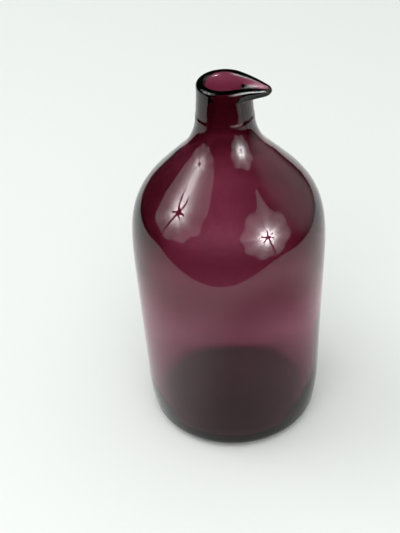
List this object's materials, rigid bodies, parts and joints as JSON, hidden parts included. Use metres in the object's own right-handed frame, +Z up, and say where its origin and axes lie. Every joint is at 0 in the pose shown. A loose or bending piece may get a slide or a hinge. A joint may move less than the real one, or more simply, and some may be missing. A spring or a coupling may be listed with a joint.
{
  "type": "glass pouring bottle",
  "caption": "Hand-blown glass pouring bottle: a rounded cylindrical body, a sloping shoulder and a short neck whose lip is drawn out into a beak.",
  "frame": {"origin": "centre of the base, on the plane of the ring that the bottle stands on", "axes": "+Z up along the axis of the bottle, +X towards the beak"},
  "size_m": [0.11, 0.11, 0.22],
  "materials": {
    "amethyst_glass": "gloss"
  },
  "bodies": {
    "root": {"glass_bottle": "amethyst_glass"}
  },
  "joints": []
}
